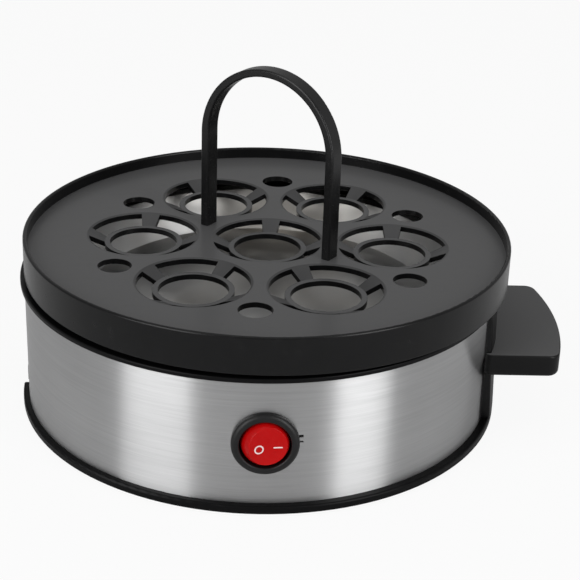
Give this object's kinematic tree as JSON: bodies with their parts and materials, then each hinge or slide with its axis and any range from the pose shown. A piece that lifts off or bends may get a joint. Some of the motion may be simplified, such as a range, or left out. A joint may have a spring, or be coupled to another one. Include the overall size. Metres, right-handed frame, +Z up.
{
  "type": "electric egg cooker",
  "caption": "Round countertop egg cooker: brushed steel base with heated water pan and red rocker switch, side handle, and a lift-off tray with seats, steam holes and an arch handle",
  "frame": {"origin": "on the table plane under the axis of the round base", "axes": "+Z up; the switch faces -Y; the side handle points to +X"},
  "size_m": [0.2034, 0.1828, 0.1286],
  "materials": {
    "black_plastic": "satin moulded",
    "tray_plastic": "satin moulded",
    "foot_rubber": "matt",
    "inlet_rubber": "matt",
    "silicone": "matt",
    "brushed_steel": "brushed round the band",
    "pan_steel": "satin pressed",
    "aluminium": "as cast",
    "element_sheath": "dull",
    "screw_steel": "zinc plated",
    "blade_brass": "tinned brass",
    "strap_steel": "plain",
    "fuse_case": "plain",
    "phenolic": "matt",
    "switch_black": "satin moulded",
    "rocker_red": "gloss, see-through red",
    "lamp_glass": "clear",
    "inner_nylon": "natural",
    "lead_red": "silicone sleeved",
    "lead_white": "silicone sleeved",
    "lead_black": "silicone sleeved"
  },
  "bodies": {
    "base": {"base_cover": "black_plastic", "top_collar": "black_plastic", "side_handle": "black_plastic", "foot_ring": "foot_rubber", "cord_inlet": "inlet_rubber", "pan_seal": "silicone", "steel_band": "brushed_steel", "heater_pan": "pan_steel", "heat_spreader": "aluminium", "heating_element": "element_sheath", "base_screws": "screw_steel", "plate_screws": "screw_steel", "handle_screws": "screw_steel", "cover_screws": "screw_steel", "element_blades": "blade_brass", "thermostat_blades": "blade_brass", "switch_blades": "blade_brass", "fuse_clip": "strap_steel", "thermal_fuse": "fuse_case", "thermostat": "phenolic", "switch_housing": "switch_black", "switch_lamp": "lamp_glass", "cord_clamp": "inner_nylon", "terminal_block": "inner_nylon", "blade_sleeves": "inner_nylon", "lead_live": "lead_red", "lead_switched": "lead_red", "lead_heater": "lead_white", "lead_neutral": "lead_black", "lead_fused": "lead_black"},
    "tray": {"tray": "tray_plastic", "arch_handle": "tray_plastic", "arch_screws": "screw_steel"},
    "rocker": {"switch_rocker": "rocker_red", "switch_plunger": "phenolic", "switch_spring": "strap_steel"},
    "contact": {"contact_arm": "blade_brass"}
  },
  "joints": [
    {"name": "tray_lift", "type": "slide", "parent": "base", "child": "tray", "axis": [0, 0, 1], "range_m": [0, 0.06]},
    {"name": "rocker_rock", "type": "hinge", "parent": "base", "child": "rocker", "pos_m": [0.00359, -0.08563, 0.0273], "axis": [0, 0, 1], "range_deg": [-20, 0]},
    {"name": "contact_tilt", "type": "hinge", "parent": "base", "child": "contact", "pos_m": [0.00324, -0.07718, 0.0273], "axis": [0, 0, 1], "range_deg": [0, 16]}
  ],
  "couplings": [
    {"joint": "contact_tilt", "follows": "rocker_rock", "ratio": -0.8}
  ]
}
